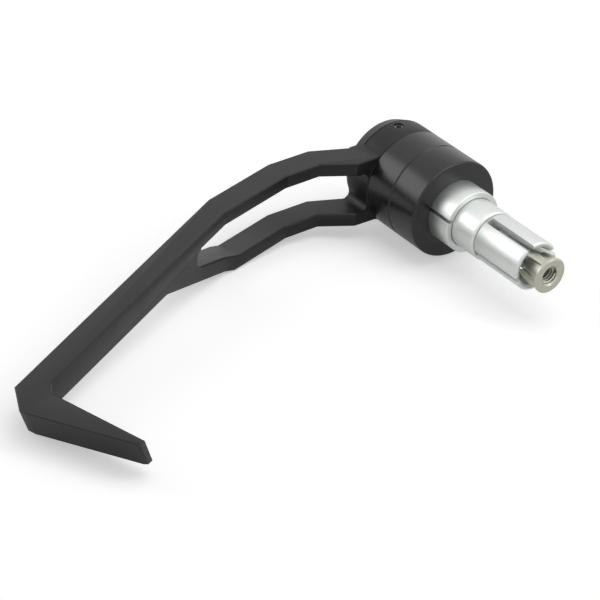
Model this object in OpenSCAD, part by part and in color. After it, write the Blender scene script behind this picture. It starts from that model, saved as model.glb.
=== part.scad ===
// Lever guard: a forked aluminium arm on a bar-end mount with an expanding collet.
// X runs along the handlebar toward its inside, the arm points toward -Y, Z is up.
// The origin lies on the hub's axis, at the stop that meets the handlebar's end.

/* [Hub rings] */
// Outside diameter of the three black rings
hub_d = 35; // [33:0.5:38]
// Width of the weight body, next to the handlebar
weight_w = 12.9; // [10:0.1:16]
// Width of the plain spacer ring
spacer_w = 12; // [8:0.5:16]
// Width of the straight part of the arm's ring
ring_w = 9.6; // [8.5:0.1:12]
// Length of the taper on the arm's ring
taper_w = 4.3; // [2:0.1:6]
// Diameter at the small end of the taper
taper_d = 31.6; // [30:0.2:32]
// Diameter of the spigot that the rings sit on
spigot_d = 20; // [18:0.5:21]
// Chamfer on the rings where they meet
ring_chamfer = 0.35; // [0.1:0.05:0.6]
// Chamfer round the weight body's front face
face_chamfer = 0.8; // [0.3:0.1:1.5]
// Width of the turned groove at the foot of the taper
groove_w = 0.5; // [0.3:0.1:0.8]

/* [Arm levels] */
// Height of the fork over both prongs
fork_h = 24.6; // [22:0.2:28]
// Clear height between the prongs
gap_h = 14.6; // [12:0.2:16]
// Height of the single bar beyond the fork
bar_h = 9.6; // [8:0.2:11]
// Slope of the lower prong where it rises to the bar, in degrees
ramp_angle = 19.5; // [15:0.5:25]
// Distance of the rise's start from the hub axis, along the third prong run
ramp_start = 57; // [52:0.5:62]
// Distance of the fork gap's closed end from the hub axis, the same way
gap_end = 82.5; // [78:0.5:86]
// Radius left by the cutter in the closed end of the gap
gap_end_r = 2; // [1:0.25:2.5]
// Radius of the hollow corners between the prongs and the ring
root_r = 2.4; // [1:0.2:4]
// Width of the small chamfer along the arm's edges
edge_chamfer = 0.45; // [0.2:0.05:0.8]
// Turn of the arm on its spigot, locked by the set screw, in degrees
arm_angle = 6.5; // [-10:0.1:10]

/* [Arm plan] */
// Outer side of the arm: waist at the ring, three bends of the fork, heel of the foot
outer_side = [[-45.5, -17.5], [-51.4, -30.4], [-51.4, -47], [-43.6, -75.4], [12, -178.5]];
// Inner side of the arm: ring, four bends of the fork, inside corner of the foot
inner_side = [[-34.9, -13], [-35.2, -21.5], [-41.8, -32.4], [-41.7, -45.8], [-33.6, -75.6], [17.7, -172]];
// Small facet of the heel, then the blunt tip of the foot
foot_side = [[22.5, -182.9], [25.1, -182.1], [53.9, -164.2], [54.7, -163.1], [53.8, -161.2]];
// How far the foot's outline moves between its top and its underside
foot_shift = [-1.7, 3.5]; // [-4:0.1:4]
// Radius of the inside corner between bar and foot
corner_r = 6; // [3:0.5:8]

/* [Set screw] */
// Diameter of the set screw and its hole: the mean diameter of an M4 thread
set_d = 3.5; // [3:0.5:6]
// Length of the set screw
set_len = 6.6; // [5:0.2:7]
// Across flats of its socket
set_key = 2; // [1.5:0.5:3]
// Distance of the set screw from the open side of the arm's ring
set_x = 6.4; // [4:0.2:7]

/* [Bar end] */
// Outside diameter of the handlebar, matched by the split sleeve
bar_d = 21.9; // [20:0.1:24]
// Length of the split sleeve
sleeve_len = 9.8; // [6:0.2:14]
// Width of the slit in the split sleeve
slit_w = 1.2; // [0.4:0.1:2]
// Direction of the slit round the axis, from +Y toward +Z, in degrees
slit_angle = 167; // [0:1:360]
// Outside diameter of the adapter tube, under the handlebar's bore
adapter_d = 17.8; // [17:0.1:18.5]
// Length of the adapter tube beyond the stop
adapter_len = 10.6; // [8:0.2:14]
// Diameter of the collet's shank inside the adapter tube
shank_d = 12; // [10:0.5:13]

/* [Collet] */
// Outside diameter of the collet's petals
petal_d = 17.2; // [16:0.1:17.6]
// Length of the petals
petal_len = 21.7; // [16:0.2:26]
// Width of the slots between the petals
slot_w = 2.7; // [1.4:0.1:3]
// Direction of the first slot round the axis, from +Y toward +Z, in degrees
slot_angle = 118; // [0:0.5:360]
// Bore of the petals at their root
petal_bore_d = 9.6; // [8:0.2:10]
// Bore of the petals at their open end
petal_mouth_d = 14; // [12:0.2:15]
// Length of the cone bored in the petals
mouth_len = 10; // [6:0.5:14]

/* [Cone nut] */
// Diameter of the nut's round flange
nut_d = 13.8; // [12:0.2:15]
// Thickness of the flange
nut_flange = 1.4; // [1:0.1:4]
// How far the nut stands out of the petals
nut_out = 6.9; // [5:0.1:10]
// Length of the nut's cone and ribs behind the flange
nut_cone_len = 7.5; // [6:0.5:14]
// Diameter of the cone where it meets the flange
nut_cone_d = 11; // [9:0.2:12]
// Diameter of the cone's small end
nut_tip_d = 7.8; // [7:0.2:8]

/* [Clamp screw] */
// Nominal diameter of the long screw
screw_d = 6; // [5:1:8]
// Core diameter of its thread
core_d = 5; // [4.2:0.1:5.2]
// Length under the head
screw_len = 75; // [60:5:80]
// Length of its thread
thread_len = 35; // [24:1:40]
// Diameter of the socket head
head_d = 10; // [9:0.5:10.4]
// Height of the socket head
head_h = 6; // [5:0.5:6.5]
// Across flats of the hexagon socket
head_key = 5; // [4:0.5:6]
// Thickness of the washer under the head
washer_t = 1.2; // [0.8:0.1:2]

/* [Hidden] */
$fn = 96;

// Places along X
face_x = -sleeve_len;
weight_x = face_x - weight_w;
ring_x = weight_x - spacer_w;
taper_x = ring_x - ring_w;
end_x = taper_x - taper_w;
spigot_x = end_x + 0.6;
head_room = 8.5;
seat_x = spigot_x + head_room;
under_head_x = seat_x - washer_t;
petal_x = adapter_len;
petal_end_x = petal_x + petal_len;
nut_x = petal_end_x + nut_out;
flange_x = nut_x - nut_flange;

// Levels of the arm along Z
top_z = fork_h / 2;
gap_z = gap_h / 2;
bar_z = top_z - bar_h;

heel = foot_side[0];
heel_start = outer_side[4];
inside_corner = inner_side[5];
run_dir = outer_side[3] - outer_side[2];
run_angle = atan2(run_dir[1], run_dir[0]);
// Clearance hole of the long screw
clearance_d = screw_d + 0.6;
// How much the adapter tube's radius is reduced where the split sleeve sits
sleeve_relief = 0.4;
// A length past every part of the guard, and a small overlap for joined solids
big = 200;
eps = 0.05;
black = [0.13, 0.13, 0.13];
silver = [0.86, 0.87, 0.88];
nickel = [0.76, 0.74, 0.68];
zinc = [0.7, 0.7, 0.7];

function unit(v) = v / norm(v);
function lift(points, z) = [for (p = points) [p[0], p[1], z]];

// Distance of a plan point from the hub axis, measured along the third prong run
function along_run(p) = p[0] * cos(run_angle) + p[1] * sin(run_angle);

// How much further out the lower prong's underside starts to rise than its top
bottom_lag = 2;

// Level of the lower prong's top (z0 = -gap_z) or bottom (z0 = -top_z) at a plan point
function rise_start(z0) = ramp_start + (z0 < -gap_z ? bottom_lag : 0);
function ramp_z(p, z0) = z0 + max(0, along_run(p) - rise_start(z0)) * tan(ramp_angle);

// Point on the line from p to q that lies at distance s along the run
function at_run(p, q, s) = p + (q - p) * (s - along_run(p)) / (along_run(q) - along_run(p));

// Turns a shape drawn round Z so that its axis is X
module along_x() {
    rotate([0, 90, 0]) children();
}

// A turned body round X, drawn as [radius, x] points
module turned_x(profile) {
    along_x() rotate_extrude() polygon(profile);
}

// A plain ring round X with a chamfer at both ends
module ring_x_body(x0, x1, r_out, r_in, c0, c1) {
    turned_x([[r_in, x0], [r_out - c0, x0], [r_out, x0 + c0],
              [r_out, x1 - c1], [r_out - c1, x1], [r_in, x1]]);
}

// A hexagon socket cut into a face at the origin, going down by depth
module hex_socket(key, depth) {
    translate([0, 0, -depth]) cylinder(d = key / cos(30), h = depth + 1, $fn = 6);
}

// Square bar along a straight edge, set on its corner, that cuts a chamfer.
// It sits a hair off the edge, so that none of its own edges lies in the arm's faces.
module bevel(p, q, hair) {
    d = q - p;
    side = edge_chamfer * sqrt(2);
    reach = 0.05;
    translate(p)
        rotate([45, -asin(d[2] / norm(d)), atan2(d[1], d[0])])
            translate([-reach, hair[0] - side / 2, hair[1] - side / 2])
                cube([norm(d) + 2 * reach, side, side]);
}

// Chamfers along a chain of edges; neighbours sit off by different hairs, so that their corners part
module bevels(points) {
    hairs = [[0.013, -0.017], [0.043, 0.013]];
    for (i = [0 : len(points) - 2]) bevel(points[i], points[i + 1], hairs[i % 2]);
}

// Everything outside the line p to q, drawn at the top; the face leans as the foot's outline moves
module lean_cut(p, q, moves = true) {
    inward = [p[1] - q[1], q[0] - p[0]] / norm(q - p);
    lean = moves ? atan2(inward * foot_shift, bar_h) : 0;
    translate([p[0], p[1], top_z])
        rotate([lean, 0, atan2(q[1] - p[1], q[0] - p[0])])
            translate([-big / 2, -big, -big / 2])
                cube([big, big, big]);
}

// Ring of the arm: a straight part, a fine groove and a taper to the open end
module arm_ring() {
    r = hub_d / 2;
    turned_x([[0, ring_x], [r - ring_chamfer, ring_x], [r, ring_x - ring_chamfer],
              [r, taper_x + groove_w], [r - groove_w, taper_x + groove_w / 2], [r - 0.1, taper_x],
              [taper_d / 2, end_x], [0, end_x]]);
}

// Fork and bar, as one plan shape at full height
module arm_plan() {
    linear_extrude(height = fork_h, center = true)
        polygon(concat([[inner_side[0][0], 0], [outer_side[0][0], 0]], outer_side,
                       [for (i = [5 : -1 : 0]) inner_side[i]]));
}

// Foot: a block that narrows to a blunt tip, and whose outline moves toward the hub as it goes down
module foot() {
    inside_bar = (heel_start + inside_corner) / 2 + bar_way * 1.4;
    corners = concat([heel_start], foot_side, [inside_corner, inside_bar]);
    count = len(corners);
    // The last two sides lie inside the bar and stand upright
    difference() {
        translate([0, heel[1] - 5, bar_z]) cube([80, 40, bar_h]);
        for (i = [0 : count - 1]) lean_cut(corners[i], corners[(i + 1) % count], i < count - 2);
    }
}

// Centre of the round inside corner, and its two ends
bar_way = unit(inner_side[4] - inside_corner);
foot_way = unit(foot_side[4] - inside_corner);
half_corner = acos(bar_way * foot_way) / 2;
corner_reach = corner_r / tan(half_corner);
corner_centre = inside_corner + unit(bar_way + foot_way) * corner_r / sin(half_corner);
corner_on_bar = inside_corner + bar_way * corner_reach;
corner_on_foot = inside_corner + foot_way * corner_reach;

// Solid left in the inside corner by the round cutter
module corner_web() {
    difference() {
        translate([0, 0, bar_z]) linear_extrude(height = bar_h)
            polygon([inside_corner - bar_way * 2 - foot_way * 2, corner_on_foot - bar_way * 2, corner_on_foot,
                     corner_centre, corner_on_bar, corner_on_bar - foot_way * 2]);
        translate([corner_centre[0], corner_centre[1], 0]) cylinder(r = corner_r, h = big, center = true);
    }
}

// Clear space beside the ring between the prongs, with a hollow radius at each prong
module gap_at_ring() {
    r = hub_d / 2;
    reach = r + root_r;
    cz = gap_z - root_r;
    cy = sqrt(reach * reach - cz * cz);
    touch = r / reach;
    along_x() translate([0, 0, outer_side[1][0] - 5]) linear_extrude(height = 30) difference() {
        union() {
            translate([-gap_z, -50]) square([gap_h, 50 - cy]);
            for (s = [-1, 1]) translate([s * cz, -cy]) circle(r = root_r);
            polygon([[-cz, -cy], [cz, -cy], [cz * touch, -cy * touch], [-cz * touch, -cy * touch]]);
        }
        circle(r = r);
    }
}

// Shapes drawn as [distance along the run, z] and cut right across the arm
module across_run() {
    rotate([90, 0, run_angle]) linear_extrude(height = big, center = true) children();
}

// The rest of the gap: level at first, then closing over the rising lower prong
module gap_between_prongs() {
    gap_start = 32;
    rise = (gap_end - ramp_start) * tan(ramp_angle);
    floor_z = -gap_z + rise;
    // Level at which the lower corner's circle just touches the rising floor
    low_z = floor_z - gap_end_r * tan(ramp_angle) + gap_end_r / cos(ramp_angle);
    across_run() {
        polygon([[gap_start, -gap_z], [ramp_start, -gap_z],
                 [gap_end - gap_end_r, floor_z - gap_end_r * tan(ramp_angle)],
                 [gap_end - gap_end_r, gap_z], [gap_start, gap_z]]);
        translate([gap_end - 2 * gap_end_r, low_z]) square([2 * gap_end_r, gap_z - gap_end_r - low_z]);
        for (z = [low_z, gap_z - gap_end_r])
            translate([gap_end - gap_end_r, z]) circle(r = gap_end_r);
    }
}

// Everything under the rising prong and the bar
module underside() {
    s0 = ramp_start + bottom_lag;
    s1 = s0 + (bar_z + top_z) / tan(ramp_angle);
    below = 10;
    across_run() polygon([[s0 - below / tan(ramp_angle), -top_z - below], [s1, bar_z],
                          [big * 1.5, bar_z], [big * 1.5, -top_z - below]]);
}

// Chamfers round the top face of the arm
module top_bevels() {
    arc_steps = 6;
    a0 = atan2((corner_on_bar - corner_centre)[1], (corner_on_bar - corner_centre)[0]);
    a1 = atan2((corner_on_foot - corner_centre)[1], (corner_on_foot - corner_centre)[0]);
    turn = (a1 - a0 + 360) % 360;
    angles = [for (i = [0 : arc_steps]) a0 + turn * i / arc_steps];
    arc = [for (a = angles) corner_centre + corner_r * [cos(a), sin(a)]];
    bevels(lift(concat(outer_side, foot_side, [corner_on_foot]), top_z));
    bevels(lift(concat([for (i = [0 : 4]) inner_side[i]], arc), top_z));
}

// Chamfers along both sides of one level of the fork
module fork_bevels(outer_points, inner_points, z0) {
    bevels([for (p = outer_points) [p[0], p[1], ramp_z(p, z0)]]);
    bevels([for (p = inner_points) [p[0], p[1], ramp_z(p, z0)]]);
}

module arm_bevels() {
    run_out = 0.6;
    o = outer_side;
    n = inner_side;
    o_near = [o[0], o[1], o[2]];
    n_near = [n[1], n[2], n[3]];
    top_end = gap_end - gap_end_r - run_out;
    bar_start = ramp_start + bottom_lag + (bar_z + top_z) / tan(ramp_angle);
    o_end = at_run(o[3], o[4], bar_start);
    n_end = at_run(n[4], n[5], bar_start);
    // Underside of the upper prong
    bevels(lift(concat(o_near, [o[3], at_run(o[3], o[4], top_end)]), gap_z));
    bevels(lift(concat(n_near, [n[4], at_run(n[4], n[5], top_end)]), gap_z));
    // Top of the lower prong
    fork_bevels(concat(o_near, [at_run(o[2], o[3], ramp_start), o[3], at_run(o[3], o[4], top_end)]),
                concat(n_near, [at_run(n[3], n[4], ramp_start), n[4], at_run(n[4], n[5], top_end)]), -gap_z);
    // Underside of the lower prong, then of the bar
    fork_bevels(concat(o_near, [at_run(o[2], o[3], ramp_start + bottom_lag), o[3], o_end]),
                concat([n[0]], n_near, [at_run(n[3], n[4], ramp_start + bottom_lag), n[4], n_end]), -top_z);
    bevels(lift([o_end, o[4]], bar_z));
    bevels(lift([n_end, corner_on_bar + bar_way * run_out], bar_z));
    top_bevels();
}

// Fork, bar and foot before their edges are broken
module arm_body() {
    difference() {
        union() {
            arm_plan();
            corner_web();
            foot();
        }
        lean_cut(heel_start, heel);
        underside();
        gap_at_ring();
        gap_between_prongs();
    }
}

// The arm is milled from one block: ring, fork, bar and foot
module guard_arm() {
    color(black) rotate([arm_angle, 0, 0]) difference() {
        union() {
            arm_ring();
            difference() {
                arm_body();
                arm_bevels();
            }
        }
        along_x() cylinder(d = spigot_d, h = big, center = true);
        turned_x([[0, end_x - 1], [spigot_d / 2 + 1.6, end_x - 1],
                  [spigot_d / 2, spigot_x], [0, spigot_x]]);
        translate([ring_x - set_x, 0, 0]) cylinder(d = set_d, h = hub_d);
    }
}

// Plain ring between the arm and the weight body
module spacer_ring() {
    color(black) ring_x_body(ring_x, weight_x, hub_d / 2, spigot_d / 2, ring_chamfer, ring_chamfer);
}

// Weight body: the inner black ring with the spigot that carries the other two
module weight_body() {
    r = hub_d / 2;
    s = spigot_d / 2;
    color(black) difference() {
        turned_x([[0, spigot_x], [s - 0.6, spigot_x], [s, spigot_x + 0.6], [s, weight_x],
                  [r - ring_chamfer, weight_x], [r, weight_x + ring_chamfer],
                  [r, face_x - face_chamfer], [r - face_chamfer, face_x], [0, face_x]]);
        along_x() cylinder(d = clearance_d, h = big, center = true);
        translate([spigot_x - 1, 0, 0]) along_x() cylinder(d = head_d + 1, h = head_room + 1);
    }
}

// Socket set screw in the top of the arm's ring, pressing on the spigot
module set_screw() {
    color(zinc) rotate([arm_angle, 0, 0]) translate([ring_x - set_x, 0, spigot_d / 2]) difference() {
        cylinder(d = set_d, h = set_len);
        translate([0, 0, set_len]) hex_socket(set_key, 3);
    }
}

// Long socket-head screw that pulls the cone nut into the petals
module clamp_screw() {
    color(zinc) difference() {
        turned_x([[0, under_head_x - head_h], [head_d / 2 - 0.5, under_head_x - head_h],
                  [head_d / 2, under_head_x - head_h + 0.5], [head_d / 2, under_head_x],
                  [screw_d / 2, under_head_x], [screw_d / 2, under_head_x + screw_len - thread_len],
                  [core_d / 2, under_head_x + screw_len - thread_len + 0.5],
                  [core_d / 2, under_head_x + screw_len - 0.7], [core_d / 2 - 0.7, under_head_x + screw_len],
                  [0, under_head_x + screw_len]]);
        translate([under_head_x - head_h, 0, 0]) rotate([0, -90, 0]) hex_socket(head_key, 3.2);
    }
}

// Washer under the screw's head
module screw_washer() {
    color(zinc) ring_x_body(under_head_x, seat_x, head_d / 2 + 0.3, clearance_d / 2, 0.1, 0.1);
}

// Split sleeve of the handlebar's own diameter, the stop for its end.
// Its bore is chamfered at the stop, so that its end face stays clear of the adapter tube.
module bar_sleeve() {
    bore = adapter_d / 2 - sleeve_relief;
    mouth = adapter_d / 2 + 0.2;
    color(silver) difference() {
        ring_x_body(face_x, 0, bar_d / 2, bore, 0.1, 0.4);
        turned_x([[0, bore - mouth], [bore, bore - mouth], [mouth, 0], [mouth, 1], [0, 1]]);
        rotate([slit_angle, 0, 0])
            translate([face_x - 1, 0, -slit_w / 2]) cube([sleeve_len + 2, bar_d, slit_w]);
    }
}

// Adapter tube that fills the handlebar's bore behind the petals
module adapter_sleeve() {
    r = adapter_d / 2;
    chamfer = 0.5;
    color(silver)
        turned_x([[shank_d / 2, face_x], [r - sleeve_relief, face_x], [r - sleeve_relief, 0], [r, 0],
                  [r, adapter_len - chamfer], [r - chamfer, adapter_len], [shank_d / 2, adapter_len]]);
}

// Expanding collet: a shank in the adapter tube and four petals cut by crossed slots
module expander_collet() {
    p = petal_d / 2;
    color(silver) difference() {
        turned_x([[clearance_d / 2, face_x], [shank_d / 2, face_x], [shank_d / 2, petal_x],
                  [p, petal_x], [p, petal_end_x - 0.8], [p - 0.8, petal_end_x],
                  [petal_mouth_d / 2, petal_end_x], [petal_bore_d / 2, petal_end_x - mouth_len],
                  [petal_bore_d / 2, petal_x + 2.5], [clearance_d / 2, petal_x + 1.5]]);
        for (i = [0, 1]) rotate([slot_angle + 90 * i, 0, 0])
            translate([petal_x + 0.9, -petal_d, -slot_w / 2]) cube([petal_len + 5, 2 * petal_d, slot_w]);
    }
}

// Cone nut: a round flange, a cone that spreads the petals and four ribs that ride in the slots
module cone_nut() {
    r = nut_d / 2;
    rib_w = slot_w - 0.2;
    cone_x = flange_x - nut_cone_len;
    color(nickel) difference() {
        union() {
            turned_x([[0, cone_x], [nut_tip_d / 2, cone_x], [nut_cone_d / 2, flange_x], [r - 0.3, flange_x],
                      [r, flange_x + 0.3], [r, nut_x - 0.4], [r - 0.4, nut_x], [0, nut_x]]);
            intersection() {
                for (i = [0, 1]) rotate([slot_angle + 90 * i, 0, 0])
                    translate([cone_x, -r, -rib_w / 2]) cube([nut_cone_len + eps, 2 * r, rib_w]);
                turned_x([[0, cone_x], [nut_tip_d / 2 + 1.4, cone_x], [r - 0.3, cone_x + 3],
                          [r - 0.3, flange_x + eps], [0, flange_x + eps]]);
            }
        }
        turned_x([[0, cone_x - 1], [core_d / 2, cone_x - 1], [core_d / 2, nut_x - 1],
                  [screw_d / 2 + 0.4, nut_x + eps], [0, nut_x + eps]]);
    }
}

guard_arm();
spacer_ring();
weight_body();
set_screw();
clamp_screw();
screw_washer();
bar_sleeve();
adapter_sleeve();
expander_collet();
cone_nut();
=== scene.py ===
# %% [markdown]
# # Lever guard
# A lever guard is a bent arm of black aluminium that keeps a motorcycle's brake lever from being
# pressed by another rider. It hangs on a mount that grips the open end of the handlebar.
# The frame comes first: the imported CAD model, in metres, with every part where it belongs.

# %% Load the frame
import math
import bpy
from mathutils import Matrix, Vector


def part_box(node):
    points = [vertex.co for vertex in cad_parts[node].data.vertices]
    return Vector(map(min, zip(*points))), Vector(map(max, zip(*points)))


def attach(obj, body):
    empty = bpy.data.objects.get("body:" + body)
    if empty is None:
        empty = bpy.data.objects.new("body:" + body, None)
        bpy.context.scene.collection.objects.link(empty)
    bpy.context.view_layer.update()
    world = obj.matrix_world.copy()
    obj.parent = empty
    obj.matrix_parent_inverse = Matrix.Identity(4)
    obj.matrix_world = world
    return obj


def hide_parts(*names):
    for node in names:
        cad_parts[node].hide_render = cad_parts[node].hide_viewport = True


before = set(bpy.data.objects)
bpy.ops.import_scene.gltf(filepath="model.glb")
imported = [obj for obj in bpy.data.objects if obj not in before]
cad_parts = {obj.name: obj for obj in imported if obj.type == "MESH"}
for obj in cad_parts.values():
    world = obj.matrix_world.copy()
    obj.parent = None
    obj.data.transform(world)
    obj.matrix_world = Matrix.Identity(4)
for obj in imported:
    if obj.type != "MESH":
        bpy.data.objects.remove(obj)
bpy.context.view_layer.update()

print("CAD nodes:", sorted(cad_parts))

# %% [markdown]
# ## Places along the handlebar
# The mount is a stack of turned parts, so nearly every size is a place along X or a radius round X.
# Both are read off the CAD parts' boxes, so that a change in the CAD carries over to the looks.

# %% Measure the CAD parts
MM = 0.001


def span(part):
    """Where a turned CAD part starts and ends along X, and its largest radius, in metres."""
    low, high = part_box(part)
    return low.x, high.x, (high.y - low.y) / 2


ring_x, weight_x, hub_r = span("spacer_ring")
spigot_x, face_x, _ = span("weight_body")
sleeve_x, stop_x, sleeve_r = span("bar_sleeve")
_, tube_x, tube_r = span("adapter_sleeve")
_, petal_end, petal_r = span("expander_collet")
cone_x, nut_x, nut_r = span("cone_nut")
screw_x, screw_end, head_r = span("clamp_screw")
seat_low, seat_high, washer_r = span("screw_washer")
arm_low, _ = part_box("guard_arm")
floor_z = min(arm_low.z, -hub_r)
print(f"hub radius {hub_r / MM:.2f} mm, bar stop at {stop_x / MM:.2f} mm, nut ends at {nut_x / MM:.1f} mm")

# %% [markdown]
# ## Colours
# Colours are written as sRGB hex values, the way a picture shows them. Blender's shaders
# want linear light, so one function turns the one into the other.

# %% Colour helper


def linear(code):
    """An sRGB hex colour, such as 8a8d8f, as a linear RGBA value."""
    channels = [int(code[i:i + 2], 16) / 255 for i in (0, 2, 4)]
    return [c / 12.92 if c <= 0.04045 else ((c + 0.055) / 1.055) ** 2.4 for c in channels] + [1]


print("mid grey 808080 is", [round(c, 3) for c in linear("808080")])

# %% [markdown]
# ## Adding nodes
# A material is a small graph. This function adds one node to it: its kind, the values on its own
# settings or sockets, and what feeds its inputs.

# %% Node helper


def add_node(tree, kind, values=None, links=None, **settings):
    """Adds a shader node; values go to input sockets by name, links are (node, output) by input name."""
    made = tree.nodes.new(kind)
    for name, value in settings.items():
        setattr(made, name, value)
    for name, value in (values or {}).items():
        made.inputs[name].default_value = value
    for name, (source, output) in (links or {}).items():
        tree.links.new(source.outputs[output], made.inputs[name])
    return made


def new_material(name):
    """An empty node material with its output, and that output."""
    material = bpy.data.materials.new(name)
    material.use_nodes = True
    material.node_tree.nodes.clear()
    output = material.node_tree.nodes.new("ShaderNodeOutputMaterial")
    return material, material.node_tree, output


print("node helpers ready")

# %% [markdown]
# ## Black anodised aluminium
# The arm and the three rings are milled or turned from aluminium, blasted with fine glass beads and
# anodised black. Anodising grows a clear oxide with black dye in its pores, so the eye sees a dark
# dielectric skin and not bare metal: metallic stays 0. Sealed oxide has an IOR near 1.65, but the
# pits of a blasted skin are full of air and swallow part of that gloss: 1.4 matches the photograph,
# where upright faces stay nearly black and level ones, seen at a flat angle, turn dark grey.
# Blasting leaves dents of about 0.05 mm. They would be finer than a pixel, so they are drawn at
# 0.25 mm. A broad noise of some 15 mm varies the roughness a little, as handling does.

# %% Make the black anodised finish


def black_anodised(name, base, roughness, grain):
    """Blasted and dyed oxide skin; grain is the strength of the dents."""
    material, tree, output = new_material(name)
    place = add_node(tree, "ShaderNodeTexCoord")
    dents = add_node(tree, "ShaderNodeTexNoise", {"Scale": 1 / (0.25 * MM), "Detail": 2.0, "Roughness": 0.6},
                     {"Vector": (place, "Object")})
    handling = add_node(tree, "ShaderNodeTexNoise", {"Scale": 1 / (15 * MM), "Detail": 3.0},
                        {"Vector": (place, "Object")})
    gloss = add_node(tree, "ShaderNodeMapRange", {"From Min": 0.3, "From Max": 0.7,
                                                  "To Min": roughness - 0.03, "To Max": roughness + 0.04},
                     {"Value": (handling, "Fac")})
    dye = add_node(tree, "ShaderNodeValToRGB", None, {"Fac": (dents, "Fac")})
    dye.color_ramp.elements[0].position = 0.3
    dye.color_ramp.elements[1].position = 0.7
    dye.color_ramp.elements[0].color = linear(base[0])
    dye.color_ramp.elements[1].color = linear(base[1])
    bump = add_node(tree, "ShaderNodeBump", {"Strength": grain, "Distance": 0.02 * MM},
                    {"Height": (dents, "Fac")})
    skin = add_node(tree, "ShaderNodeBsdfPrincipled", {"IOR": 1.4},
                    {"Base Color": (dye, "Color"), "Roughness": (gloss, "Result"),
                     "Normal": (bump, "Normal")})
    tree.links.new(skin.outputs["BSDF"], output.inputs["Surface"])
    return material


blasted_black = black_anodised("black anodised aluminium, bead blasted", ("131413", "1a1b1a"), 0.40, 0.35)
print("made", blasted_black.name)

# %% [markdown]
# ## Black anodised, turned
# The rings are turned on a lathe before they are blasted lightly, so they keep faint rings that run
# round the axis. Those rings are a noise that is long round the axis and short along it: the
# pattern reads only X and the radius, which are the same all the way round. Turned skin has fewer
# pits than blasted skin, so its IOR is 1.5 and it is smoother, and the key light draws one streak
# along the rings.

# %% Make the turned finishes


def turned_marks(tree, pitch, detail=2.0):
    """Lathe marks: a noise that depends only on the place along X and on the radius."""
    place = add_node(tree, "ShaderNodeTexCoord")
    split = add_node(tree, "ShaderNodeSeparateXYZ", None, {"Vector": (place, "Object")})
    across = add_node(tree, "ShaderNodeCombineXYZ", None, {"X": (split, "Y"), "Y": (split, "Z")})
    radius = add_node(tree, "ShaderNodeVectorMath", None, {"Vector": (across, "Vector")}, operation="LENGTH")
    turned = add_node(tree, "ShaderNodeCombineXYZ", None, {"X": (split, "X"), "Y": (radius, "Value")})
    marks = add_node(tree, "ShaderNodeTexNoise", {"Scale": 1 / pitch, "Detail": detail, "Roughness": 0.7},
                     {"Vector": (turned, "Vector")})
    return place, radius, marks


def turned_black(name):
    """Dyed oxide over a fine turned surface; the tool's feed of about 0.15 mm is drawn at 0.3 mm."""
    material, tree, output = new_material(name)
    place, _, marks = turned_marks(tree, 0.3 * MM)
    dents = add_node(tree, "ShaderNodeTexNoise", {"Scale": 1 / (0.25 * MM), "Detail": 2.0},
                     {"Vector": (place, "Object")})
    dye = add_node(tree, "ShaderNodeValToRGB", None, {"Fac": (dents, "Fac")})
    dye.color_ramp.elements[0].position = 0.3
    dye.color_ramp.elements[1].position = 0.7
    dye.color_ramp.elements[0].color = linear("121312")
    dye.color_ramp.elements[1].color = linear("181918")
    gloss = add_node(tree, "ShaderNodeMapRange", {"From Min": 0.3, "From Max": 0.7,
                                                  "To Min": 0.22, "To Max": 0.28},
                     {"Value": (marks, "Fac")})
    bump = add_node(tree, "ShaderNodeBump", {"Strength": 0.25, "Distance": 0.02 * MM},
                    {"Height": (marks, "Fac")})
    skin = add_node(tree, "ShaderNodeBsdfPrincipled", {"IOR": 1.5},
                    {"Base Color": (dye, "Color"), "Roughness": (gloss, "Result"),
                     "Normal": (bump, "Normal")})
    tree.links.new(skin.outputs["BSDF"], output.inputs["Surface"])
    return material


SAWN_ROUGHNESS = 0.72


def bare_metal(name, base, roughness, pitch, strength, sawn_below=0.0):
    """Bright turned metal with lathe marks; at a radius below sawn_below it is rough from the saw."""
    material, tree, output = new_material(name)
    _, radius, marks = turned_marks(tree, pitch)
    tint = add_node(tree, "ShaderNodeValToRGB", None, {"Fac": (marks, "Fac")})
    tint.color_ramp.elements[0].position = 0.25
    tint.color_ramp.elements[1].position = 0.75
    tint.color_ramp.elements[0].color = linear(base[0])
    tint.color_ramp.elements[1].color = linear(base[1])
    gloss = add_node(tree, "ShaderNodeMapRange", {"From Min": 0.25, "From Max": 0.75,
                                                  "To Min": roughness[0], "To Max": roughness[1]},
                     {"Value": (marks, "Fac")})
    rough = (gloss, "Result")
    if sawn_below > 0:
        sawn = add_node(tree, "ShaderNodeMapRange",
                        {"From Min": sawn_below - 0.1 * MM, "From Max": sawn_below,
                         "To Min": SAWN_ROUGHNESS, "To Max": 0.0}, {"Value": (radius, "Value")})
        either = add_node(tree, "ShaderNodeMath", None, {0: rough, 1: (sawn, "Result")}, operation="MAXIMUM")
        rough = (either, "Value")
    bump = add_node(tree, "ShaderNodeBump", {"Strength": strength, "Distance": 0.02 * MM},
                    {"Height": (marks, "Fac")})
    metal = add_node(tree, "ShaderNodeBsdfPrincipled", {"Metallic": 1.0},
                     {"Base Color": (tint, "Color"), "Roughness": rough, "Normal": (bump, "Normal")})
    tree.links.new(metal.outputs["BSDF"], output.inputs["Surface"])
    return material


rings_black = turned_black("black anodised aluminium, turned")
print("made", rings_black.name)

# %% [markdown]
# ## Bright metals
# The sleeve, tube and collet are bare turned aluminium, pale and slightly satin. The cone nut is
# nickel plated, which is warmer and yellower. The screws are zinc plated steel, a cooler grey.
# All three are true metals, so metallic is 1 and the IOR keeps its default; the colour is the
# metal's own reflection. The collet has a second, rougher surface below its outer skin: its bore
# and the walls of its slots come from the saw, and scatter light instead of mirroring it.

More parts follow.
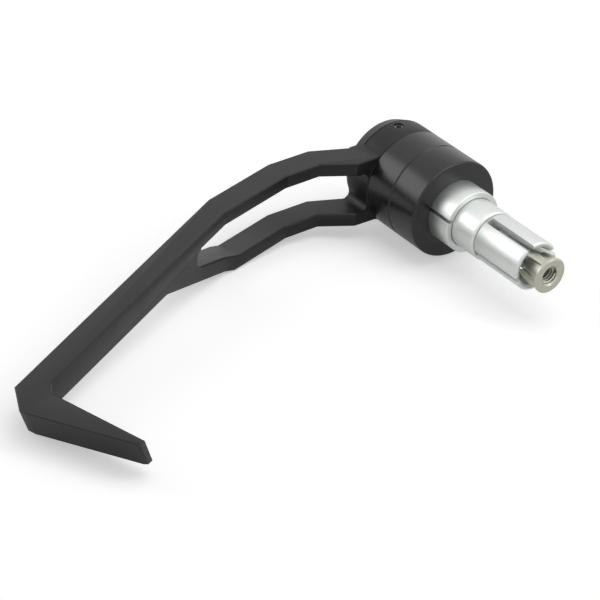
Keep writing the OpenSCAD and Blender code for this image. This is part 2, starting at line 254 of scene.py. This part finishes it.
# %% Make the bright metals
bright_aluminium = bare_metal("aluminium, bright turned", ("d6d9d7", "e0e3e0"), (0.38, 0.44), 0.2 * MM, 0.1)
sawn_aluminium = bare_metal("aluminium, turned and sawn", ("d6d9d7", "e0e3e0"), (0.38, 0.44), 0.2 * MM, 0.1,
                            petal_r - 0.1 * MM)
nickel = bare_metal("steel, satin nickel plated", ("b9b7aa", "c5c3b6"), (0.32, 0.38), 0.2 * MM, 0.1)
zinc = bare_metal("steel, bright zinc plated", ("aeb2b5", "bcc0c3"), (0.28, 0.36), 0.2 * MM, 0.1)
print("made", bright_aluminium.name, "/", nickel.name, "/", zinc.name)

# %% [markdown]
# ## Working on one piece at a time
# So each step first selects only the piece it works on. Booleans and bevels are added as
# modifiers and applied at once, so that the finished mesh holds the shape.

# %% Modelling helpers


def only(piece):
    """Selects this piece alone and makes it the active one."""
    bpy.ops.object.select_all(action="DESELECT")
    piece.select_set(True)
    bpy.context.view_layer.objects.active = piece
    return piece


def apply_modifier(piece, kind, **settings):
    """Adds a modifier with these settings and applies it."""
    only(piece)
    modifier = piece.modifiers.new(kind.lower(), kind)
    for name, value in settings.items():
        setattr(modifier, name, value)
    bpy.ops.object.modifier_apply(modifier=modifier.name)
    return piece


def break_edges(piece, width, sharper_than=40, segments=2):
    """Bevels the edges that turn by more than an angle in degrees, as a deburring tool does."""
    return apply_modifier(piece, "BEVEL", width=width, segments=segments, limit_method="ANGLE",
                          angle_limit=math.radians(sharper_than))


def cut(piece, cutter):
    """Takes the cutter's shape out of the piece and removes the cutter."""
    apply_modifier(piece, "BOOLEAN", operation="DIFFERENCE", object=cutter, solver="EXACT")
    bpy.data.objects.remove(cutter)
    return piece


def join(piece, *others):
    """Joins other pieces into this one; their shells stay closed."""
    only(piece)
    for other in others:
        other.select_set(True)
    bpy.ops.object.join()
    return piece


print("modelling helpers ready")

# %% [markdown]
# ## The lathe
# Real turned parts are made by a profile that a tool follows while the bar spins. The same works
# here: a plane is merged to one point, the point is extruded along the profile, and the line is
# spun round X. The spin leaves a double row where it meets itself, so doubles are merged before
# the normals are turned outwards.

# %% Lathe helper


def lathe(name, profile, steps=128):
    """A body turned round X from (x, radius) points in metres, closed back to its first point."""
    bpy.ops.object.select_all(action="DESELECT")
    x0, r0 = profile[0]
    bpy.ops.mesh.primitive_plane_add(size=0.001, location=(x0, r0, 0))
    piece = bpy.context.object
    piece.name = piece.data.name = name
    bpy.ops.object.transform_apply(location=True, rotation=True, scale=True)
    bpy.ops.object.mode_set(mode="EDIT")
    bpy.ops.mesh.select_all(action="SELECT")
    bpy.ops.mesh.merge(type="CENTER")
    loop = profile[1:] + ([profile[0]] if r0 > 0 or profile[-1][1] > 0 else [])
    x, r = x0, r0
    for x1, r1 in loop:
        bpy.ops.mesh.extrude_vertices_move(TRANSFORM_OT_translate={"value": (x1 - x, r1 - r, 0)})
        x, r = x1, r1
    bpy.ops.mesh.select_all(action="SELECT")
    bpy.ops.mesh.remove_doubles(threshold=1e-6)
    bpy.ops.mesh.select_all(action="SELECT")
    bpy.ops.mesh.spin(steps=steps, angle=2 * math.pi, center=(0, 0, 0), axis=(1, 0, 0))
    bpy.ops.mesh.select_all(action="SELECT")
    bpy.ops.mesh.remove_doubles(threshold=1e-6)
    bpy.ops.mesh.normals_make_consistent(inside=False)
    bpy.ops.object.mode_set(mode="OBJECT")
    return piece


def block(name, low, high, turn=0.0):
    """A closed block between two corners, turned round the X axis; it serves as a cutter or a rib."""
    bpy.ops.object.select_all(action="DESELECT")
    low, high = Vector(low), Vector(high)
    bpy.ops.mesh.primitive_cube_add(size=1, location=(low + high) / 2)
    piece = bpy.context.object
    piece.name = piece.data.name = name
    piece.scale = high - low
    bpy.ops.object.transform_apply(location=True, rotation=True, scale=True)
    piece.rotation_euler.x = turn
    bpy.ops.object.transform_apply(location=True, rotation=True, scale=True)
    return piece


print("lathe ready")

# %% [markdown]
# ## Finishing a piece
# Every piece gets its finish, rides on the guard's one body, and hides the CAD part it stands for.
# Smooth shading by angle keeps round walls round and real edges sharp.

# %% Finishing helper


def finish_piece(piece, material, slot, *parts, angle=30):
    """Shades, dresses and registers a finished piece, and prints its size."""
    only(piece)
    bpy.ops.object.shade_smooth_by_angle(angle=math.radians(angle))
    piece.data.materials.clear()
    piece.data.materials.append(material)
    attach(piece, "root")
    if parts:
        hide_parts(*parts)
    size = [round(d / MM, 1) for d in piece.dimensions]
    print(piece.name, "size in mm", size, "faces", len(piece.data.polygons))
    return piece


# %% [markdown]
# ## The guard arm
# The real arm is milled from one block: a ring with a tapered open end, a fork of two prongs, a
# bar and a turned foot. The CAD solid already has its true shape and its chamfers, so its mesh is
# copied and merged: flat areas become single faces again, and round ones can be shaded smoothly.
# A last narrow bevel breaks the edges that are still sharp, and shows as a fine line along them.

# %% Make the guard arm
arm = bpy.data.objects.new("arm_milled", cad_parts["guard_arm"].data.copy())
bpy.context.collection.objects.link(arm)
only(arm)
bpy.ops.object.mode_set(mode="EDIT")
bpy.ops.mesh.select_all(action="SELECT")
bpy.ops.mesh.remove_doubles(threshold=2e-6)
bpy.ops.mesh.dissolve_limited(angle_limit=math.radians(0.3))
bpy.ops.mesh.normals_make_consistent(inside=False)
bpy.ops.object.mode_set(mode="OBJECT")
if arm.data.has_custom_normals:
    bpy.ops.mesh.customdata_custom_splitnormals_clear()
break_edges(arm, 0.12 * MM, sharper_than=32, segments=1)
finish_piece(arm, blasted_black, "black_anodised", "guard_arm", angle=25)

# %% [markdown]
# ## The spacer and the weight
# Two black rings follow the arm's ring. The spacer is a plain tube. The weight has a spigot that
# reaches back through the other two, and a recess for the long screw's head. The fine grooves that
# the photograph shows between the rings are their flat chamfers meeting.

# %% Turn the two black rings
spigot_r = 10 * MM
screw_hole_r = 3.3 * MM
recess_r = 5.5 * MM
edge = 0.4 * MM


def rounded(x, r, dx, dr, size, steps=4):
    """Points that round an outside corner at (x, r): in along X by dx's sign, then in radius by dr's sign."""
    points = []
    for i in range(steps + 1):
        a = math.pi / 2 * i / steps
        points.append((x + dx * size * (1 - math.sin(a)), r + dr * size * (1 - math.cos(a))))
    return points


spacer = lathe("spacer_turned", [
    (ring_x, spigot_r), (ring_x, hub_r - edge), (ring_x + edge, hub_r),
    (weight_x - edge, hub_r), (weight_x, hub_r - edge), (weight_x, spigot_r)])
finish_piece(spacer, rings_black, "black_anodised", "spacer_ring")

face_edge = 0.8 * MM
weight = lathe("weight_turned", [
    (spigot_x, recess_r), *reversed(rounded(spigot_x, spigot_r, 1, -1, 0.6 * MM)), (weight_x, spigot_r),
    (weight_x, hub_r - edge), (weight_x + edge, hub_r), *rounded(face_x, hub_r, -1, -1, face_edge, 6),
    (face_x, screw_hole_r), (seat_high, screw_hole_r), (seat_high, recess_r)])
finish_piece(weight, rings_black, "black_anodised", "weight_body")

# %% [markdown]
# ## The set screw
# A small M4 socket set screw sits in the top of the arm's ring and locks the arm's angle. It is a
# cylinder with a chamfered rim and a hexagon socket, set in upright and then turned with the arm.

# %% Make the set screw
arm_turn = math.radians(6.5)
set_r = 1.75 * MM
set_key = 2 * MM
set_x = ring_x - 6.4 * MM
set_top = spigot_r + 6.9 * MM
bpy.ops.object.select_all(action="DESELECT")
bpy.ops.mesh.primitive_cylinder_add(vertices=48, radius=set_r, depth=set_top - spigot_r,
                                    location=(set_x, 0, (spigot_r + set_top) / 2))
set_screw = bpy.context.object
set_screw.name = set_screw.data.name = "set_screw_socket"
bpy.ops.object.transform_apply(location=True, rotation=True, scale=True)
break_edges(set_screw, 0.25 * MM, sharper_than=60)
bpy.ops.mesh.primitive_cylinder_add(vertices=6, radius=set_key / math.cos(math.radians(30)) / 2,
                                    depth=6 * MM, location=(set_x, 0, set_top))
cut(set_screw, only(bpy.context.object))
only(set_screw)
set_screw.rotation_euler.x = arm_turn
bpy.ops.object.transform_apply(location=True, rotation=True, scale=True)
finish_piece(set_screw, zinc, "zinc_steel", "set_screw")

# %% [markdown]
# ## Threads
# An M6 thread has a ridge every millimetre. It is a four-sided profile, sunk a little into the
# core, that the Screw modifier winds round X, once per turn. Its two ends are filled, so that the
# ridge is a closed body of its own. It is seen through the collet's slots and in the nut's hole.

# %% Thread helper
pitch = 1 * MM


def thread(name, x0, x1, root_r, crest_r):
    """A thread's ridge round X between x0 and x1; a crest radius below the root's makes an inside thread."""
    bpy.ops.object.select_all(action="DESELECT")
    sink = 0.05 * MM if crest_r > root_r else -0.05 * MM
    corners = [(0.0, root_r - sink), (0.31 * pitch, crest_r), (0.44 * pitch, crest_r),
               (0.75 * pitch, root_r - sink)]
    bpy.ops.mesh.primitive_plane_add(size=0.0002, location=(x0, corners[0][1], 0))
    ridge = bpy.context.object
    ridge.name = ridge.data.name = name
    bpy.ops.object.transform_apply(location=True, rotation=True, scale=True)
    bpy.ops.object.mode_set(mode="EDIT")
    bpy.ops.mesh.select_all(action="SELECT")
    bpy.ops.mesh.merge(type="CENTER")
    for (xa, ra), (xb, rb) in zip(corners, corners[1:] + corners[:1]):
        bpy.ops.mesh.extrude_vertices_move(TRANSFORM_OT_translate={"value": (xb - xa, rb - ra, 0)})
    bpy.ops.mesh.select_all(action="SELECT")
    bpy.ops.mesh.remove_doubles(threshold=1e-7)
    bpy.ops.object.mode_set(mode="OBJECT")
    turns = int((x1 - x0) / pitch) - 1
    apply_modifier(ridge, "SCREW", axis="X", angle=2 * math.pi, screw_offset=pitch, iterations=turns,
                   steps=32, render_steps=32)
    bpy.ops.object.mode_set(mode="EDIT")
    bpy.ops.mesh.select_all(action="SELECT")
    bpy.ops.mesh.remove_doubles(threshold=1e-7)
    bpy.ops.mesh.fill_holes(sides=4)
    bpy.ops.mesh.select_all(action="SELECT")
    bpy.ops.mesh.normals_make_consistent(inside=False)
    bpy.ops.object.mode_set(mode="OBJECT")
    return ridge


print("thread pitch", pitch / MM, "mm")

# %% [markdown]
# ## The clamp screw and its washer
# One long M6 socket-head screw holds the stack together and draws the cone nut into the petals.
# Head, shank and thread core are one turned profile; the hexagon socket is cut into the head.

# %% Make the clamp screw
screw_r, core_r = 3 * MM, 2.5 * MM
thread_length = 35 * MM
thread_x = screw_end - thread_length
screw = lathe("clamp_screw_body", [
    (screw_x, 0), *reversed(rounded(screw_x, head_r, 1, -1, 0.5 * MM)), (seat_low, head_r),
    (seat_low, screw_r), (thread_x, screw_r), (thread_x + 0.5 * MM, core_r),
    (screw_end - 0.7 * MM, core_r), (screw_end, core_r - 0.7 * MM), (screw_end, 0)], steps=64)
head_key = 5 * MM
bpy.ops.object.select_all(action="DESELECT")
bpy.ops.mesh.primitive_cylinder_add(vertices=6, radius=head_key / math.cos(math.radians(30)) / 2,
                                    depth=6.4 * MM, location=(screw_x, 0, 0), rotation=(0, math.pi / 2, 0))
cut(screw, only(bpy.context.object))
join(screw, thread("clamp_thread", thread_x + 0.4 * MM, screw_end - 0.4 * MM, core_r, screw_r - 0.03 * MM))
finish_piece(screw, zinc, "zinc_steel", "clamp_screw")

washer = lathe("washer_turned", [
    (seat_low, screw_hole_r), *reversed(rounded(seat_low, washer_r, 1, -1, 0.15 * MM)),
    *rounded(seat_high, washer_r, -1, -1, 0.15 * MM), (seat_high, screw_hole_r)], steps=64)
finish_piece(washer, zinc, "zinc_steel", "screw_washer")

# %% [markdown]
# ## The split sleeve
# A silver sleeve as thick as the handlebar stands against the weight; the handlebar's end meets it.
# It is turned, and then sawn open along one side so that it can be pushed over the adapter tube.

# %% Make the split sleeve
sleeve_bore = tube_r - 0.4 * MM
sleeve_mouth = tube_r + 0.2 * MM
sleeve = lathe("sleeve_split", [
    (sleeve_x, sleeve_bore), *reversed(rounded(sleeve_x, sleeve_r, 1, -1, 0.15 * MM)),
    *rounded(stop_x, sleeve_r, -1, -1, 0.35 * MM, 5), (stop_x, sleeve_mouth),
    (stop_x - (sleeve_mouth - sleeve_bore), sleeve_bore)])
slit = block("slit", (sleeve_x - MM, 0, -0.6 * MM), (stop_x + MM, 2 * sleeve_r, 0.6 * MM), math.radians(167))
cut(sleeve, slit)
break_edges(sleeve, 0.1 * MM)
finish_piece(sleeve, bright_aluminium, "bright_aluminium", "bar_sleeve")

# %% [markdown]
# ## The adapter tube
# It fills the handlebar's bore between the sleeve and the petals. Under the sleeve it is turned
# 0.4 mm thinner in radius. Its free end has a flat chamfer that catches the light; a small bevel
# softens the chamfer's own edges.

# %% Make the adapter tube
shank_r = 6 * MM
tube = lathe("adapter_tube", [
    (sleeve_x, shank_r), (sleeve_x, sleeve_bore), (stop_x - 0.4 * MM, sleeve_bore), (stop_x, tube_r),
    (tube_x - 0.55 * MM, tube_r), (tube_x, tube_r - 0.55 * MM), (tube_x, shank_r)])
break_edges(tube, 0.06 * MM, sharper_than=30)
finish_piece(tube, bright_aluminium, "bright_aluminium", "adapter_sleeve")

# %% [markdown]
# ## The expanding collet
# The collet is turned in one piece with its shank, and two crossed saw cuts part its end into four
# petals. Inside, the petals open to a cone for the nut, with a small step in their mouth. A groove
# at the petals' root lets them bend, and shows as a dark line. Their edges are broken by hand, which
# a small bevel shows.

# %% Make the collet
slot_turn = math.radians(118)
slot_half = 1.35 * MM
bore_r, mouth_r = 4.8 * MM, 7.0 * MM
root_r = petal_r - 1.0 * MM
root_width = 0.8 * MM
collet = lathe("collet_petals", [
    (sleeve_x, screw_hole_r), (sleeve_x, shank_r), (tube_x, shank_r), (tube_x, root_r),
    (tube_x + root_width, root_r), (tube_x + root_width, petal_r),
    (petal_end - 0.55 * MM, petal_r), (petal_end, petal_r - 0.55 * MM), (petal_end, mouth_r + 0.6 * MM),
    (petal_end - 0.5 * MM, mouth_r + 0.55 * MM), (petal_end - 0.5 * MM, mouth_r + 0.25 * MM),
    (petal_end - 0.1 * MM, mouth_r + 0.2 * MM), (petal_end - 0.5 * MM, mouth_r - 0.2 * MM),
    (petal_end - 10 * MM, bore_r), (tube_x + 2.5 * MM, bore_r), (tube_x + 1.5 * MM, screw_hole_r)], steps=160)
for quarter in (0, 1):
    saw = block("saw", (tube_x + 0.3 * MM, -2 * petal_r, -slot_half),
                (petal_end + MM, 2 * petal_r, slot_half), slot_turn + quarter * math.pi / 2)
    cut(collet, saw)
break_edges(collet, 0.08 * MM)
finish_piece(collet, sawn_aluminium, "bright_aluminium", "expander_collet")

# %% [markdown]
# ## The cone nut
# The nut has a round flange, a cone that spreads the petals as the screw draws it in, and four ribs
# that ride in the slots so that it can't turn. Its body is turned, the ribs are blocks shaped by a
# second turned body, and its hole gets the thread. The photograph shows the flange a little smaller
# and thinner than the CAD solid has it, so its size is set here.

# %% Make the cone nut
flange_x = nut_x - 1.0 * MM
flange_r = 6.2 * MM
rim_bevel_x, rim_bevel_r = 0.4 * MM, 0.55 * MM
tip_r, shoulder_r = 3.9 * MM, 5.2 * MM
nut = lathe("nut_cone", [
    (cone_x, screw_r), (cone_x, tip_r), (flange_x, shoulder_r),
    *reversed(rounded(flange_x, flange_r, 1, -1, 0.2 * MM)), (nut_x - rim_bevel_x, flange_r),
    (nut_x, flange_r - rim_bevel_r), (nut_x, screw_r + 0.6 * MM), (nut_x - 0.5 * MM, screw_r)], steps=96)
rib_half, rib_r, rib_lead = 1.25 * MM, flange_r - 0.2 * MM, 3 * MM
for quarter in (0, 1):
    ribs = block("ribs", (cone_x, -nut_r, -rib_half), (flange_x + 0.4 * MM, nut_r, rib_half),
                 slot_turn + quarter * math.pi / 2)
    limit = lathe("limit", [
        (cone_x, screw_r + 0.2 * MM), (cone_x, tip_r + 1.4 * MM), (cone_x + rib_lead, rib_r),
        (flange_x + 0.3 * MM, rib_r), (flange_x + 0.3 * MM, screw_r + 0.2 * MM)], steps=96)
    apply_modifier(ribs, "BOOLEAN", operation="INTERSECT", object=limit, solver="EXACT")
    bpy.data.objects.remove(limit)
    apply_modifier(nut, "BOOLEAN", operation="UNION", object=ribs, solver="EXACT")
    bpy.data.objects.remove(ribs)
break_edges(nut, 0.12 * MM)
join(nut, thread("nut_thread", screw_end + 0.3 * MM, nut_x - 0.2 * MM, screw_r, core_r + 0.05 * MM))
finish_piece(nut, nickel, "nickel_plate", "cone_nut")

# %% [markdown]
# ## The floor
# The photograph stands the guard on plain white with a soft grey shadow. The floor is a matt white
# sheet. What the camera sees of it also glows a little, so that its lit part comes out white while
# the shadow stays. Mirror-like rays see less than half of that glow, as the dark faces near the
# floor show in the photograph, and soft light gets none of it.

# %% Lay the floor
bpy.ops.object.select_all(action="DESELECT")
bpy.ops.mesh.primitive_plane_add(size=6, location=(0, 0, floor_z - 0.02 * MM))
floor = bpy.context.object
floor.name = "floor_sheet"


def seen_directly(tree):
    """1 for rays from the camera, a mirror or glass, and 0 for soft light."""
    path = add_node(tree, "ShaderNodeLightPath")
    first = add_node(tree, "ShaderNodeMath", None,
                     {0: (path, "Is Camera Ray"), 1: (path, "Is Glossy Ray")}, operation="MAXIMUM")
    return add_node(tree, "ShaderNodeMath", None,
                    {0: (first, "Value"), 1: (path, "Is Transmission Ray")}, operation="MAXIMUM")


floor_glow = 0.44
mirror_glow = 0.2
sheet, tree, output = new_material("matt white card")
seen = seen_directly(tree)
path = add_node(tree, "ShaderNodeLightPath")
extra = add_node(tree, "ShaderNodeMath", {1: floor_glow - mirror_glow}, {0: (path, "Is Camera Ray")},
                 operation="MULTIPLY")
glow = add_node(tree, "ShaderNodeMath", {1: mirror_glow}, {0: (seen, "Value"), 2: (extra, "Value")},
                operation="MULTIPLY_ADD")
card = add_node(tree, "ShaderNodeBsdfDiffuse", {"Color": linear("f0f0f0"), "Roughness": 0.8})
light = add_node(tree, "ShaderNodeEmission", {"Color": linear("ffffff")}, {"Strength": (glow, "Value")})
both = add_node(tree, "ShaderNodeAddShader", None, {0: (card, "BSDF"), 1: (light, "Emission")})
tree.links.new(both.outputs["Shader"], output.inputs["Surface"])
floor.data.materials.append(sheet)
print("floor at z =", round(floor_z / MM, 2), "mm")

# %% [markdown]
# ## Studio light
# The key box stands low on the left of the picture and gives the rings and metals one streak along
# their length. The right box stands behind the guard on the right and lights what faces away from
# the key. The broad box overhead throws the soft shadow under the guard. The world is white where it
# is seen, and a dim grey where it only lights.

# %% Set the lights
middle = Vector((-0.01, -0.07, 0.0))


def soft_box(name, toward, distance, size, watts):
    """A square area lamp that looks at the guard's middle from a direction."""
    place = middle + Vector(toward).normalized() * distance
    bpy.ops.object.light_add(type="AREA", location=place)
    lamp = bpy.context.object
    lamp.name = name
    lamp.rotation_euler = (middle - place).to_track_quat("-Z", "Y").to_euler()
    lamp.data.size = size
    lamp.data.energy = watts
    return lamp


soft_box("key_box", (-0.63, -0.64, 0.43), 0.9, 0.5, 1.35)
soft_box("right_box", (0.50, 0.55, 0.67), 0.9, 0.45, 1.0)
soft_box("top_box", (0.15, 0.0, 0.99), 0.9, 0.8, 2.8)

world = bpy.data.worlds.new("plain studio")
bpy.context.scene.world = world
world.use_nodes = True
tree = world.node_tree
tree.nodes.clear()
seen = seen_directly(tree)
level = add_node(tree, "ShaderNodeMapRange", {"To Min": 0.30, "To Max": 1.0}, {"Value": (seen, "Value")})
sky = add_node(tree, "ShaderNodeBackground", {"Color": linear("ffffff")}, {"Strength": (level, "Result")})
output = add_node(tree, "ShaderNodeOutputWorld", None, {"Surface": (sky, "Background")})
bpy.context.scene.view_settings.view_transform = "Standard"

# %% [markdown]
# ## The camera
# The camera's place comes from matching the rings' ellipses and the arm's corners to the
# photograph. It stands far off with a long lens, so the picture has little perspective.

# %% Place the camera
bpy.ops.object.camera_add(location=(0.46602, -0.45300, 0.33025),
                          rotation=[math.radians(a) for a in (60.191, -6.495, 54.210)])
camera = bpy.context.object
camera.data.lens = 132
camera.data.sensor_width = 36
camera.data.clip_start = 0.01
bpy.context.scene.camera = camera
print("camera at", [round(c, 3) for c in camera.location])
